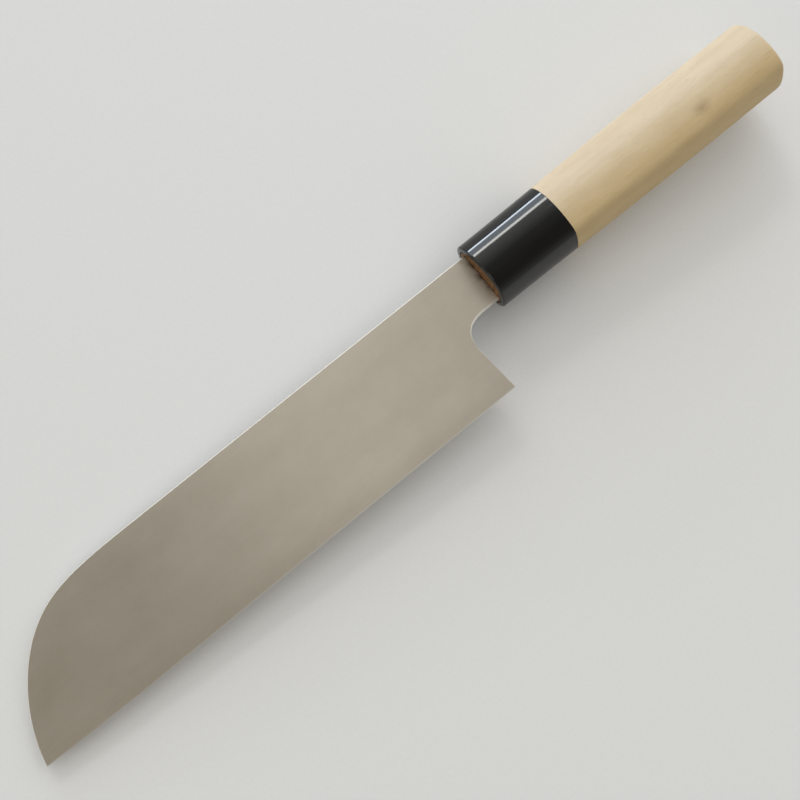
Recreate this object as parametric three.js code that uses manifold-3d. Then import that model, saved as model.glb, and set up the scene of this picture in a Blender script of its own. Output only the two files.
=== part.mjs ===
// Kamagata usuba: a single-bevel vegetable knife with a laminated blade, a tang hidden in the
// handle, a black ferrule and a plain wooden handle of D section.
// Millimetres. The knife lies on its side: +X runs to the butt, +Y to the spine, +Z out of the flat back.
// While it is built, X = 0 is the ferrule's mouth, and Y = Z = 0 is the handle's axis.

import * as THREE from 'three';
import { mergeVertices } from 'three/addons/utils/BufferGeometryUtils.js';
import Module from 'manifold-3d';

// Blade, seen from its flat back
const EDGE_LENGTH = 180; // heel corner to point
const BLADE_HEIGHT = 41.7; // spine to straight edge
const SPINE_ABOVE_AXIS = 8.35; // spine line above the handle's axis
const NOSE_LENGTH = 62.2; // where the spine starts to fall, back from the point
const SHOULDER_BACK = 20.5; // middle of the nose's curve, back from the point
const SHOULDER_DROP = 8.2; // the same place, below the spine
const SHOULDER_FALL = 36; // degrees below the spine's direction there
const POINT_FALL = 78.4; // degrees below the spine's direction at the point
const POINT_LIFT = 0.8; // point above the straight edge
const POINT_LIFT_RUN = 43; // length of edge that rises to the point
const NOSE_EASE = { spine: 0.5, above: 0.31, below: 0.28, point: 0.38 }; // tangents, as shares of their curve

// Neck and the rounded notch in front of the handle
const NECK_LENGTH = 13.4; // heel corner to ferrule mouth
const NECK_HEIGHT = 17.35;
const NECK_STRAIGHT = 5.9; // straight underside of the neck, out from the mouth
const CHOIL_DEPTH = 9.4; // how far the notch's curve falls below the neck
const CHOIL_REACH = 1.4; // how far the notch is cut in front of the heel corner
const CHOIL_EASE = { neck: 0.9, heel: 0.58 }; // tangents, as shares of the curve's width and depth

// Blade, through its thickness
const SPINE_THICKNESS = 3.6;
const STEEL_THICKNESS = 1.2; // hard layer on the flat back
const BEVEL_WIDTH = 18; // ground bevel, edge to ridge line
const EDGE_LAND = 0.2; // thickness left at the edge
const HOLLOW_RIM = 3; // flat rim around the hollow of the back
const HOLLOW_SLOPE = 11; // width over which the hollow falls to its depth
const HOLLOW_DEPTH = 0.3;

// Tang
const TANG_HEIGHT = 10; // at the neck's shoulders
const TANG_END_HEIGHT = 6;
const WOOD_BEHIND_TANG = 38; // solid wood between the tang's end and the butt

// Handle and ferrule
const HANDLE_LENGTH = 116; // ferrule mouth to butt
const FERRULE_LENGTH = 30;
const BELLY_FROM_BUTT = 36; // widest place
const MOUTH_WIDTH = 23.5;
const BELLY_WIDTH = 25.1;
const BUTT_WIDTH = 24.85;
const MOUTH_THICKNESS = 19.6;
const BELLY_THICKNESS = 20.8;
const BUTT_THICKNESS = 20.6;
const CROWN_OFFSET = 2; // top of the back's curve, off the axis towards the edge
const RIDGE_INSET = 4.3; // ridge of the D, in from the handle's side
const RIDGE_DROP = 1.3; // ridge below the crown
const RIDGE_FALL = 50; // degrees of the side just past the ridge
const FERRULE_WALL = 1.7;
const LIP_CHAMFER = 0.6;
const BUTT_CHAMFER = 1;

// Fits
const FIT_GAP = 0.3; // clearance between pieces that slide together
const RESIN_THICKNESS = 1; // resin around the tang

// Facets
const CURVE_SEGMENTS = 14;
const HOLLOW_SEGMENTS = 3;
const LOFT_STATIONS = 9; // sections along the handle's wood
const OVERCUT = 5; // how far a cutting solid runs past what it cuts

const back = SPINE_THICKNESS / 2;
const front = -SPINE_THICKNESS / 2;
const weld = back - STEEL_THICKNESS; // plane where the two layers meet
const spineY = SPINE_ABOVE_AXIS;
const edgeY = SPINE_ABOVE_AXIS - BLADE_HEIGHT;
const neckY = SPINE_ABOVE_AXIS - NECK_HEIGHT;
const heelX = -NECK_LENGTH;
const pointX = heelX - EDGE_LENGTH;
const tangLength = HANDLE_LENGTH - WOOD_BEHIND_TANG;
const bellyX = HANDLE_LENGTH - BELLY_FROM_BUTT;
const boreWidth = MOUTH_WIDTH - 2 * FERRULE_WALL;
const boreThickness = MOUTH_THICKNESS - 2 * FERRULE_WALL;

const wasm = await Module();
wasm.setup();

function toSolid(geometry) {
  const plain = geometry.clone();
  plain.deleteAttribute('normal');
  plain.deleteAttribute('uv');
  const merged = mergeVertices(plain);
  const vertProperties = new Float32Array(merged.attributes.position.array);
  const triVerts = new Uint32Array(merged.index.array);
  return new wasm.Manifold(new wasm.Mesh({ numProp: 3, vertProperties, triVerts }));
}

function toGeometry(solid) {
  const mesh = solid.getMesh();
  const geometry = new THREE.BufferGeometry();
  geometry.setAttribute('position', new THREE.BufferAttribute(new Float32Array(mesh.vertProperties), 3));
  geometry.setIndex(new THREE.BufferAttribute(new Uint32Array(mesh.triVerts), 1));
  geometry.computeVertexNormals();
  return geometry;
}

// Turns a solid drawn in the YZ plane and extruded along its own Z so that it runs along X.
function alongX(geometry) {
  const across = new THREE.Vector3(0, 1, 0);
  const up = new THREE.Vector3(0, 0, 1);
  const along = new THREE.Vector3(1, 0, 0);
  return geometry.applyMatrix4(new THREE.Matrix4().makeBasis(across, up, along));
}

function plate(shape, low, high) {
  const options = { depth: high - low, bevelEnabled: false, curveSegments: CURVE_SEGMENTS };
  return new THREE.ExtrudeGeometry(shape, options).translate(0, 0, low);
}

// A unit step at an angle below the direction that the spine runs to the point.
function fall(degrees) {
  const angle = THREE.MathUtils.degToRad(degrees);
  return new THREE.Vector2(-Math.cos(angle), -Math.sin(angle));
}

// Edge, point and nose, from the heel to the spine, drawn a given distance inside the true outline.
function traceEdgeAndNose(shape, inset) {
  const corner = THREE.MathUtils.degToRad((POINT_FALL + SHOULDER_FALL) / 2); // mean angle of edge and nose
  const point = new THREE.Vector2(pointX + inset / Math.tan(corner / 2), edgeY + POINT_LIFT + inset);
  const shoulder = new THREE.Vector2(pointX + SHOULDER_BACK, spineY - SHOULDER_DROP);
  shoulder.add(fall(SHOULDER_FALL + 90).multiplyScalar(inset));
  const spineEnd = new THREE.Vector2(pointX + NOSE_LENGTH, spineY - inset);
  const upper = spineEnd.x - shoulder.x;
  const lower = shoulder.distanceTo(point);

  const atPoint = point.clone().addScaledVector(fall(POINT_FALL), -NOSE_EASE.point * lower);
  const below = shoulder.clone().addScaledVector(fall(SHOULDER_FALL), NOSE_EASE.below * lower);
  const above = shoulder.clone().addScaledVector(fall(SHOULDER_FALL), -NOSE_EASE.above * upper);
  const atSpine = spineEnd.clone().addScaledVector(fall(0), NOSE_EASE.spine * upper);

  const liftStart = pointX + POINT_LIFT_RUN;
  const liftBend = (liftStart + point.x) / 2;
  shape.lineTo(liftStart, edgeY + inset);
  shape.quadraticCurveTo(liftBend, edgeY + inset, point.x, point.y);
  shape.bezierCurveTo(atPoint.x, atPoint.y, below.x, below.y, shoulder.x, shoulder.y);
  shape.bezierCurveTo(above.x, above.y, atSpine.x, atSpine.y, spineEnd.x, spineEnd.y);
}

// The blade and neck as far as the ferrule's mouth.
function bladeOutline() {
  const notchX = heelX - CHOIL_REACH;
  const notchY = neckY - CHOIL_DEPTH;
  const neckPull = CHOIL_EASE.neck * (-NECK_STRAIGHT - notchX);
  const heel = new THREE.Vector2(heelX, edgeY);
  const notch = new THREE.Vector2(notchX, notchY);
  const heelward = heel.clone().sub(notch).normalize();
  const pull = notch.clone().addScaledVector(heelward, -CHOIL_EASE.heel * CHOIL_DEPTH);

  const shape = new THREE.Shape();
  shape.moveTo(0, neckY);
  shape.lineTo(-NECK_STRAIGHT, neckY);
  shape.bezierCurveTo(-NECK_STRAIGHT - neckPull, neckY, pull.x, pull.y, notch.x, notch.y);
  shape.lineTo(heel.x, heel.y);
  traceEdgeAndNose(shape, 0);
  shape.lineTo(0, spineY);
  return shape;
}

// Half the tang's height at a distance behind the ferrule's mouth.
function tangHalfHeight(x) {
  return THREE.MathUtils.lerp(TANG_HEIGHT, TANG_END_HEIGHT, x / tangLength) / 2;
}

// The tang's outline grown by a margin on every side, between two places along the handle.
function tangPlate(margin, start, end) {
  const shape = new THREE.Shape();
  shape.moveTo(start, -tangHalfHeight(start) - margin);
  shape.lineTo(end, -tangHalfHeight(end) - margin);
  shape.lineTo(end, tangHalfHeight(end) + margin);
  shape.lineTo(start, tangHalfHeight(start) + margin);
  return plate(shape, front - margin, weld + margin);
}

// A long wedge under the edge: what is ground away from the front to leave the bevel.
function bevelCutter() {
  const ridgeLine = edgeY + BEVEL_WIDTH;
  const slope = (back - EDGE_LAND - front) / BEVEL_WIDTH;
  const floor = front - slope * OVERCUT;
  const shape = new THREE.Shape();
  shape.moveTo(ridgeLine + OVERCUT, floor);
  shape.lineTo(edgeY - OVERCUT, back - EDGE_LAND + slope * OVERCUT);
  shape.lineTo(edgeY - OVERCUT, floor);
  const length = EDGE_LENGTH + CHOIL_REACH + 2 * OVERCUT;
  const options = { depth: length, bevelEnabled: false };
  return alongX(new THREE.ExtrudeGeometry(shape, options)).translate(pointX - OVERCUT, 0, 0);
}

// The shallow dish ground into the flat back, with its sides easing down from the rim.
function hollowCutter() {
  const inset = HOLLOW_RIM + HOLLOW_SLOPE;
  const shape = new THREE.Shape();
  shape.moveTo(heelX - CHOIL_REACH - inset, spineY - inset);
  shape.lineTo(heelX - CHOIL_REACH - inset, edgeY + inset);
  traceEdgeAndNose(shape, inset);
  const options = {
    depth: OVERCUT,
    bevelEnabled: true,
    bevelSize: HOLLOW_SLOPE,
    bevelThickness: HOLLOW_DEPTH,
    bevelSegments: HOLLOW_SEGMENTS,
    curveSegments: CURVE_SEGMENTS,
  };
  return new THREE.ExtrudeGeometry(shape, options).translate(0, 0, back);
}

// Section of the handle at its belly: a domed back, a ridge towards the edge and an oval front.
function handleSection() {
  const side = BELLY_WIDTH / 2;
  const crown = BELLY_THICKNESS / 2;
  const ridgeY = RIDGE_INSET - side;
  const ridgeZ = crown - RIDGE_DROP;
  const sideBend = ridgeZ - RIDGE_INSET * Math.tan(THREE.MathUtils.degToRad(RIDGE_FALL));
  const crownBend = (ridgeY - CROWN_OFFSET) / 2;
  const shape = new THREE.Shape();
  shape.moveTo(side, 0);
  shape.absellipse(-CROWN_OFFSET, 0, side + CROWN_OFFSET, crown, 0, Math.PI / 2);
  shape.quadraticCurveTo(crownBend, crown, ridgeY, ridgeZ);
  shape.quadraticCurveTo(-side, sideBend, -side, 0);
  shape.absellipse(0, 0, side, crown, Math.PI, 2 * Math.PI);
  return shape;
}

// Width and thickness of the handle's skin at a distance behind the mouth.
function skinAt(x) {
  const swell = THREE.MathUtils.smoothstep(x, 0, bellyX);
  const shrink = THREE.MathUtils.smoothstep(x, bellyX, HANDLE_LENGTH);
  const width = MOUTH_WIDTH + (BELLY_WIDTH - MOUTH_WIDTH) * swell - (BELLY_WIDTH - BUTT_WIDTH) * shrink;
  const gain = (BELLY_THICKNESS - MOUTH_THICKNESS) * swell;
  const loss = (BELLY_THICKNESS - BUTT_THICKNESS) * shrink;
  return { x, width, thickness: MOUTH_THICKNESS + gain - loss };
}

// The skin's section at one place, cut smaller all round.
function skinInside(x, depth) {
  const skin = skinAt(x);
  return { x, width: skin.width - 2 * depth, thickness: skin.thickness - 2 * depth };
}

// A solid through a row of sections that differ in place, width and thickness.
function loft(stations) {
  const count = stations.length - 1;
  const options = { depth: count, steps: count, bevelEnabled: false, curveSegments: CURVE_SEGMENTS };
  const geometry = alongX(new THREE.ExtrudeGeometry(handleSection(), options));
  const position = geometry.attributes.position;
  for (let i = 0; i < position.count; i += 1) {
    const station = stations[Math.round(position.getX(i))];
    const y = (position.getY(i) * station.width) / BELLY_WIDTH;
    const z = (position.getZ(i) * station.thickness) / BELLY_THICKNESS;
    position.setXYZ(i, station.x, y, z);
  }
  return geometry;
}

// A straight length of the ferrule's bore, drawn smaller by a clearance.
function boreLength(clearance, start, end) {
  const width = boreWidth - 2 * clearance;
  const thickness = boreThickness - 2 * clearance;
  return loft([{ x: start, width, thickness }, { x: end, width, thickness }]);
}

function makeCuttingSteel() {
  const layer = toSolid(plate(bladeOutline(), weld, back));
  return toGeometry(layer.subtract(toSolid(bevelCutter())).subtract(toSolid(hollowCutter())));
}

function makeIronBody() {
  const layer = toSolid(plate(bladeOutline(), front, weld));
  const tang = toSolid(tangPlate(0, -NECK_STRAIGHT, tangLength));
  return toGeometry(layer.add(tang).subtract(toSolid(bevelCutter())));
}

function makeFerrule() {
  const lip = skinInside(0, LIP_CHAMFER);
  const tube = toSolid(loft([lip, skinAt(LIP_CHAMFER), skinAt(FERRULE_LENGTH)]));
  return toGeometry(tube.subtract(toSolid(boreLength(0, -OVERCUT, FERRULE_LENGTH + OVERCUT))));
}

function makeHandle() {
  const last = HANDLE_LENGTH - BUTT_CHAMFER;
  const stations = [];
  for (let i = 0; i < LOFT_STATIONS; i += 1) {
    stations.push(skinAt(THREE.MathUtils.lerp(FERRULE_LENGTH, last, i / (LOFT_STATIONS - 1))));
  }
  stations.push(skinInside(HANDLE_LENGTH, BUTT_CHAMFER));
  const grip = toSolid(loft(stations));
  const tenon = toSolid(boreLength(FIT_GAP, 0, FERRULE_LENGTH + OVERCUT));
  const margin = 2 * FIT_GAP + RESIN_THICKNESS;
  const slot = toSolid(tangPlate(margin, -OVERCUT, tangLength + margin));
  return toGeometry(grip.add(tenon).subtract(slot));
}

function makeTangResin() {
  const sleeve = toSolid(tangPlate(FIT_GAP + RESIN_THICKNESS, 0, tangLength));
  return toGeometry(sleeve.subtract(toSolid(tangPlate(FIT_GAP, -OVERCUT, tangLength + OVERCUT))));
}

function piece(name, geometry, color, roughness, metalness) {
  const mesh = new THREE.Mesh(geometry, new THREE.MeshStandardMaterial({ color, roughness, metalness }));
  mesh.name = name;
  return mesh;
}

const knife = new THREE.Group();
knife.name = 'kamagata_usuba';
knife.add(piece('cutting_steel', makeCuttingSteel(), 0xa9a59e, 0.35, 1));
knife.add(piece('iron_body', makeIronBody(), 0x9b9892, 0.5, 1));
knife.add(piece('ferrule', makeFerrule(), 0x0b0b0c, 0.15, 0));
knife.add(piece('handle', makeHandle(), 0xd8c39a, 0.6, 0));
knife.add(piece('tang_resin', makeTangResin(), 0x3a2415, 0.6, 0));

// The part's origin is the middle of its underside.
const box = new THREE.Box3().setFromObject(knife);
const middle = box.getCenter(new THREE.Vector3());
knife.position.set(-middle.x, -middle.y, -box.min.z);

export default knife;
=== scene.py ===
# %% [markdown]
# # A kamagata usuba
# This lesson dresses a Japanese vegetable knife. Its solids already exist as a fixed frame: two layers of
# blade, a ferrule, a wooden handle and the resin round the tang. Each cell below models one piece more
# finely than its solid, or gives it its finish. All sizes are metres, and the knife lies on its side with
# the flat back of the blade up: +X runs to the butt, +Y to the spine.

# %% Load the frame
import math

import bmesh
import bpy
from mathutils import Matrix, Vector


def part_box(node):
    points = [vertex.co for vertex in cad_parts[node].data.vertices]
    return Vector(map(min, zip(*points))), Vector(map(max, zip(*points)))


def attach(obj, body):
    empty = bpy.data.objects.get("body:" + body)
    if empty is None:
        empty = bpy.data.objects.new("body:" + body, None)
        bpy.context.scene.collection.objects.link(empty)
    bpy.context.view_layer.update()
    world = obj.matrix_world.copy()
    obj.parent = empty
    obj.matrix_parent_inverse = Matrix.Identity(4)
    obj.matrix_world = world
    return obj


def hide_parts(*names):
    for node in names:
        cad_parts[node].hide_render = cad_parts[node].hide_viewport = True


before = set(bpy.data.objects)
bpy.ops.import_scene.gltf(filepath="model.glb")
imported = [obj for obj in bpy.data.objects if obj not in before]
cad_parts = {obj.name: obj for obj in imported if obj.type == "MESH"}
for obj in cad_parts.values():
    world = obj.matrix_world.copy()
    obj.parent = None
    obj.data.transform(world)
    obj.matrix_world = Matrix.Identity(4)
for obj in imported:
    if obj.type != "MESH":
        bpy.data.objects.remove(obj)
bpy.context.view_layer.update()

# %% [markdown]
# ## Places that the pieces share
# Everything is placed from the frame, so that nothing has to be fitted later. The handle's axis and the
# ferrule's mouth make the handiest origin, because the blade, the ferrule and the wood all meet there. A
# small function turns a place given from that origin, in millimetres, into the frame's metres.

# %% Read the shared places from the frame
MM = 0.001

steel_low, steel_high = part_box("cutting_steel")
iron_low, iron_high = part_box("iron_body")
ferrule_low, ferrule_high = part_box("ferrule")
handle_low, handle_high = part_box("handle")

mouth_x = steel_high.x
point_x = steel_low.x
spine_y = steel_high.y
edge_y = steel_low.y
back_z = steel_high.z
weld_z = steel_low.z
front_z = iron_low.z
joint_x = ferrule_high.x
butt_x = handle_high.x
axis_y = (handle_low.y + handle_high.y) / 2
axis_z = (handle_low.z + handle_high.z) / 2
blade_height = (spine_y - edge_y) / MM
handle_length = (butt_x - mouth_x) / MM


def place(ahead, across, up=0.0):
    """A place given in millimetres from the ferrule's mouth on the handle's axis."""
    return Vector((mouth_x + ahead * MM, axis_y + across * MM, axis_z + up * MM))


print("edge to spine", round(blade_height, 2), "mm, mouth to butt", round(handle_length, 2), "mm")

# %% [markdown]
# ## Helpers for modelling by hand
# Operators act on whatever is selected, so each piece starts from an empty selection. In edit mode, parts
# of a mesh are picked by a test on their place or direction, as a modeller would box-select them.

# %% Selection helpers
TIGHT = 1e-7
SAME_PLACE = 1e-6
FACING = 0.999


def start_fresh():
    """Leave edit mode and select nothing."""
    if bpy.context.object and bpy.context.object.mode != "OBJECT":
        bpy.ops.object.mode_set(mode="OBJECT")
    bpy.ops.object.select_all(action="DESELECT")


def edit(piece):
    """Go into edit mode on one piece with all of it selected."""
    start_fresh()
    piece.select_set(True)
    bpy.context.view_layer.objects.active = piece
    bpy.ops.object.mode_set(mode="EDIT")
    bpy.ops.mesh.select_all(action="SELECT")


def pick(kind, test):
    """In edit mode, select only the vertices, edges or faces that pass a test."""
    bpy.ops.mesh.select_mode(type=kind)
    bpy.ops.mesh.select_all(action="DESELECT")
    mesh = bpy.context.object.data
    sketch = bmesh.from_edit_mesh(mesh)
    items = {"VERT": sketch.verts, "EDGE": sketch.edges, "FACE": sketch.faces}[kind]
    chosen = [item for item in items if test(item)]
    for item in chosen:
        item.select_set(True)
    sketch.select_flush_mode()
    bmesh.update_edit_mesh(mesh)
    return len(chosen)


def middle(item):
    """Middle of an edge or face."""
    return sum((v.co for v in item.verts), Vector()) / len(item.verts)


def lies_at(item, x):
    """Whether all of an edge or face lies at one place along the knife."""
    return all(abs(v.co.x - x) < SAME_PLACE for v in item.verts)


def finish_mesh(piece, smooth_angle):
    """Close seams, turn the faces outwards and shade smooth up to an angle in degrees."""
    edit(piece)
    bpy.ops.mesh.remove_doubles(threshold=TIGHT)
    bpy.ops.mesh.normals_make_consistent(inside=False)
    bpy.ops.object.mode_set(mode="OBJECT")
    bpy.ops.object.shade_smooth_by_angle(angle=math.radians(smooth_angle))
    print(piece.name, "has", len(piece.data.polygons), "faces")


def dress(piece, node, material):
    """Let a finished piece stand for a node of the frame, in its material."""
    piece.data.materials.clear()
    piece.data.materials.append(material)
    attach(piece, "root")
    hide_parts(node)


print("points closer than", round(TIGHT / MM, 6), "mm are merged")

# %% [markdown]
# ## Drawing an outline
# A knife's profile is a few straight lines joined by long easy curves. It could be cut out of a grid with
# many small cuts, but a Bezier curve needs only a handful of points, each with two handles, and keeps the
# nose fair. The curve is then made a mesh and filled with one face, which is the start of a solid.

# %% Outline helper
OUTLINE_STEPS = 28
COLLINEAR = 0.0004


def trace(name, start, strokes, steps=OUTLINE_STEPS):
    """Draw a closed outline and fill it. A stroke is (end,) for a line or (pull, pull, end) for a curve."""
    ends = [start] + [stroke[-1] for stroke in strokes]
    leave = []
    arrive = []
    for begin, stroke in zip(ends, strokes):
        straight = len(stroke) == 1
        leave.append(begin.lerp(stroke[-1], 1 / 3) if straight else stroke[0])
        arrive.append(begin.lerp(stroke[-1], 2 / 3) if straight else stroke[1])
    anchors = ends[:-1]
    before = arrive[-1:] + arrive[:-1]

    start_fresh()
    bpy.ops.curve.primitive_bezier_curve_add()
    outline = bpy.context.object
    outline.name = name
    spline = outline.data.splines[0]
    spline.bezier_points.add(len(anchors) - len(spline.bezier_points))
    for point, anchor, pull_in, pull_out in zip(spline.bezier_points, anchors, before, leave):
        point.handle_left_type = "FREE"
        point.handle_right_type = "FREE"
        point.co = anchor
        point.handle_left = pull_in
        point.handle_right = pull_out
    spline.use_cyclic_u = True
    outline.data.resolution_u = steps
    bpy.ops.object.convert(target="MESH")
    outline = bpy.context.object
    edit(outline)
    bpy.ops.mesh.remove_doubles(threshold=TIGHT)
    bpy.ops.mesh.edge_face_add()
    bpy.ops.mesh.dissolve_limited(angle_limit=COLLINEAR)
    print(name, "outline has", len(bmesh.from_edit_mesh(outline.data).verts), "points")
    return outline


print("a curve is drawn in", OUTLINE_STEPS, "steps")

# %% [markdown]
# ## The blade's profile
# The sickle nose falls from the spine in one sweep, turns at a shoulder and drops almost straight to the
# point. Two curves that share a direction at the shoulder give that shape. The notch in front of the handle
# is one more curve. The profile can also be drawn in by a fraction of a millimetre: the band between the
# full profile and the drawn-in one is the rim that a file has eased, wide under the neck where a finger
# lies and fine at the nose.

# %% Blade profile
NOSE_LENGTH = 62.2
SHOULDER_BACK = 20.5
SHOULDER_DROP = 8.2
SHOULDER_FALL = 36.0
POINT_FALL = 78.4
POINT_LIFT = 0.8
POINT_LIFT_RUN = 43.0
NOSE_EASE = {"spine": 0.5, "above": 0.31, "below": 0.28, "point": 0.38}
NECK_LENGTH = 13.4
NECK_HEIGHT = 17.35
NECK_STRAIGHT = 5.9
CHOIL_DEPTH = 9.4
CHOIL_REACH = 1.4
CHOIL_EASE = {"neck": 0.9, "heel": 0.58}
FULL = {"spine": 0.0, "neck": 0.0, "heel": 0.0, "nose": 0.0}
DRAWN_IN = {"spine": 0.25, "neck": 0.75, "heel": 0.08, "nose": 0.15}

spine_up = (spine_y - axis_y) / MM
edge_up = (edge_y - axis_y) / MM
neck_up = spine_up - NECK_HEIGHT
point_ahead = (point_x - mouth_x) / MM


def fall(degrees):
    """A step of one millimetre at an angle below the spine, towards the point."""
    angle = math.radians(degrees)
    return Vector((-math.cos(angle), -math.sin(angle), 0)) * MM


def blade_strokes(up, inset):
    """Lines and curves from the neck's lower corner round the blade to its upper corner, at one height."""
    heel_ahead = -NECK_LENGTH - inset["heel"]
    tip_ahead = point_ahead + inset["nose"]
    top = spine_up - inset["spine"]
    bend = place(-NECK_STRAIGHT, neck_up + inset["neck"], up)
    notch = place(heel_ahead - CHOIL_REACH, neck_up - CHOIL_DEPTH, up)
    heel = place(heel_ahead, edge_up, up)
    lift = place(point_ahead + POINT_LIFT_RUN, edge_up, up)
    lift_bend = place(point_ahead + POINT_LIFT_RUN / 2, edge_up, up)
    point = place(tip_ahead, edge_up + POINT_LIFT, up)
    shoulder = place(point_ahead + SHOULDER_BACK, spine_up - SHOULDER_DROP, up)
    shoulder += fall(SHOULDER_FALL + 90) * (inset["spine"] + inset["nose"]) / 2
    spine_end = place(point_ahead + NOSE_LENGTH, top, up)

    to_heel = (heel - notch).normalized()
    neck_pull = bend + fall(0) * CHOIL_EASE["neck"] * (bend.x - notch.x) / MM
    notch_pull = notch - to_heel * CHOIL_EASE["heel"] * CHOIL_DEPTH * MM
    lower = (shoulder - point).length / MM
    upper = (spine_end.x - shoulder.x) / MM
    point_pull = point - fall(POINT_FALL) * NOSE_EASE["point"] * lower
    below = shoulder + fall(SHOULDER_FALL) * NOSE_EASE["below"] * lower
    above = shoulder - fall(SHOULDER_FALL) * NOSE_EASE["above"] * upper
    spine_pull = spine_end + fall(0) * NOSE_EASE["spine"] * upper
    return [
        (bend,),
        (neck_pull, notch_pull, notch),
        (heel,),
        (lift,),
        (lift.lerp(lift_bend, 2 / 3), point.lerp(lift_bend, 2 / 3), point),
        (point_pull, below, shoulder),
        (above, spine_pull, spine_end),
        (place(0, top, up),),
    ]


print("profile runs from the mouth", round(-point_ahead, 1), "mm to the point")

# %% [markdown]
# ## A layer of the blade
# Both layers start at the weld between them: the filled profile is extruded almost to the face, the
# drawn-in profile is laid at the face itself, and the two rims are bridged. A bevel modifier could ease the
# rim too, but only by one width all round. The edge is then ground. On the bench a stone takes one flat
# wedge off the front; here a bisect along a tilted plane clears everything under it and fills the cut.

# %% Layer helpers
RIM_HEIGHT = 0.08
BEVEL_WIDTH = 18.0
EDGE_LAND = 0.06
SMOOTH_ANGLE = 4.5
TANG_HEIGHT = 10.0
TANG_END_HEIGHT = 6.0

back_up = (back_z - axis_z) / MM
weld_up = (weld_z - axis_z) / MM
front_up = (front_z - axis_z) / MM
tang_end = (iron_high.x - mouth_x) / MM
bevel_rise = back_up - front_up - EDGE_LAND
bevel_normal = Vector((0, -bevel_rise, -BEVEL_WIDTH)).normalized()
bevel_place = place(0, edge_up, back_up - EDGE_LAND)


def tang_strokes(up):
    """Lines from the neck round the tang."""
    wide = TANG_HEIGHT / 2
    narrow = TANG_END_HEIGHT / 2
    corners = [(0, wide), (tang_end, narrow), (tang_end, -narrow), (0, -wide)]
    return [(place(ahead, across, up),) for ahead, across in corners]


def profile(name, up, inset, with_tang):
    """The filled outline of a blade layer at one height."""
    start = place(0, neck_up + inset["neck"], up)
    strokes = blade_strokes(up, inset)
    if with_tang:
        strokes += tang_strokes(up)
    return trace(name, start, strokes + [(start,)])


def open_loops(piece, outline):
    """Join a filled outline to a piece as an empty loop, and select it with the piece's open rim."""
    edit(outline)
    bpy.ops.mesh.delete(type="ONLY_FACE")
    start_fresh()
    outline.select_set(True)
    piece.select_set(True)
    bpy.context.view_layer.objects.active = piece
    bpy.ops.object.join()
    edit(piece)
    return pick("EDGE", lambda e: e.is_boundary or e.is_wire)


def close_loop():
    """Fill the one loop that is still open, and leave its face selected."""
    pick("EDGE", lambda e: e.is_boundary)
    bpy.ops.mesh.edge_face_add()


def blade_layer(name, face_up, with_tang):
    """A solid between the weld and a face, eased at that face's rim and ground to the bevel."""
    layer = profile(name, weld_up, FULL, with_tang)
    rise = face_up - weld_up
    rise -= math.copysign(RIM_HEIGHT, rise)
    bpy.ops.mesh.extrude_region_move(TRANSFORM_OT_translate={"value": (0, 0, rise * MM)})
    bpy.ops.mesh.delete(type="ONLY_FACE")
    open_loops(layer, profile("rim", face_up, DRAWN_IN, with_tang))
    bpy.ops.mesh.bridge_edge_loops()
    close_loop()
    bpy.ops.mesh.select_all(action="SELECT")
    bpy.ops.mesh.normals_make_consistent(inside=False)
    bpy.ops.mesh.bisect(
        plane_co=bevel_place, plane_no=bevel_normal, use_fill=True, clear_outer=True, threshold=TIGHT
    )
    return layer


print("bevel lies at", round(math.degrees(math.atan2(bevel_rise, BEVEL_WIDTH)), 1), "degrees")

# %% [markdown]
# ## The hard steel back
# The back is one sheet of hard steel. Its middle is hollowed by a fraction of a millimetre, so that only a
# rim touches the sharpening stone. Insets would follow the outline, but they cross over each other at the
# point, where it is narrow. So the hollow has an outline of its own with rounded corners, and the back is
# filled between the two.

# %% Model the hard steel back
HOLLOW_RIM = 2.6
HOLLOW_CORNER = 5.0
CORNER_PULL = 0.45

hollow_right = -NECK_LENGTH - CHOIL_REACH - DRAWN_IN["heel"] - HOLLOW_RIM
hollow_left = point_ahead + HOLLOW_RIM
hollow_low = edge_up + HOLLOW_RIM
hollow_top = spine_up - DRAWN_IN["spine"] - HOLLOW_RIM


def hollow_outline():
    """The hollow's rim on the back, from the heel along the edge, round the nose and along the spine."""
    pull = CORNER_PULL * HOLLOW_CORNER

    def at(ahead, across):
        return place(ahead, across, back_up)

    start = at(hollow_right, hollow_low + HOLLOW_CORNER)
    nose = at(hollow_left, hollow_low) - fall(POINT_FALL) * HOLLOW_CORNER
    shoulder = at(point_ahead + SHOULDER_BACK, spine_up - SHOULDER_DROP)
    shoulder += fall(SHOULDER_FALL + 90) * HOLLOW_RIM
    spine_end = at(point_ahead + NOSE_LENGTH, hollow_top)
    lower = (shoulder - nose).length / MM
    upper = (spine_end.x - shoulder.x) / MM
    strokes = [
        (at(hollow_right, hollow_low + pull), at(hollow_right - pull, hollow_low),
         at(hollow_right - HOLLOW_CORNER, hollow_low)),
        (at(hollow_left + HOLLOW_CORNER, hollow_low),),
        (at(hollow_left + pull, hollow_low), nose + fall(POINT_FALL) * pull, nose),
        (nose - fall(POINT_FALL) * NOSE_EASE["point"] * lower,
         shoulder + fall(SHOULDER_FALL) * NOSE_EASE["below"] * lower, shoulder),
        (shoulder - fall(SHOULDER_FALL) * NOSE_EASE["above"] * upper,
         spine_end + fall(0) * NOSE_EASE["spine"] * upper, spine_end),
        (at(hollow_right - HOLLOW_CORNER, hollow_top),),
        (at(hollow_right - pull, hollow_top), at(hollow_right, hollow_top - pull),
         at(hollow_right, hollow_top - HOLLOW_CORNER)),
        (start,),
    ]
    return trace("hollow", start, strokes)


def on_back(face):
    """A test for the faces that lie in the plane of the back."""
    return face.normal.z > FACING and abs(middle(face).z - back_z) < SAME_PLACE


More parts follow.
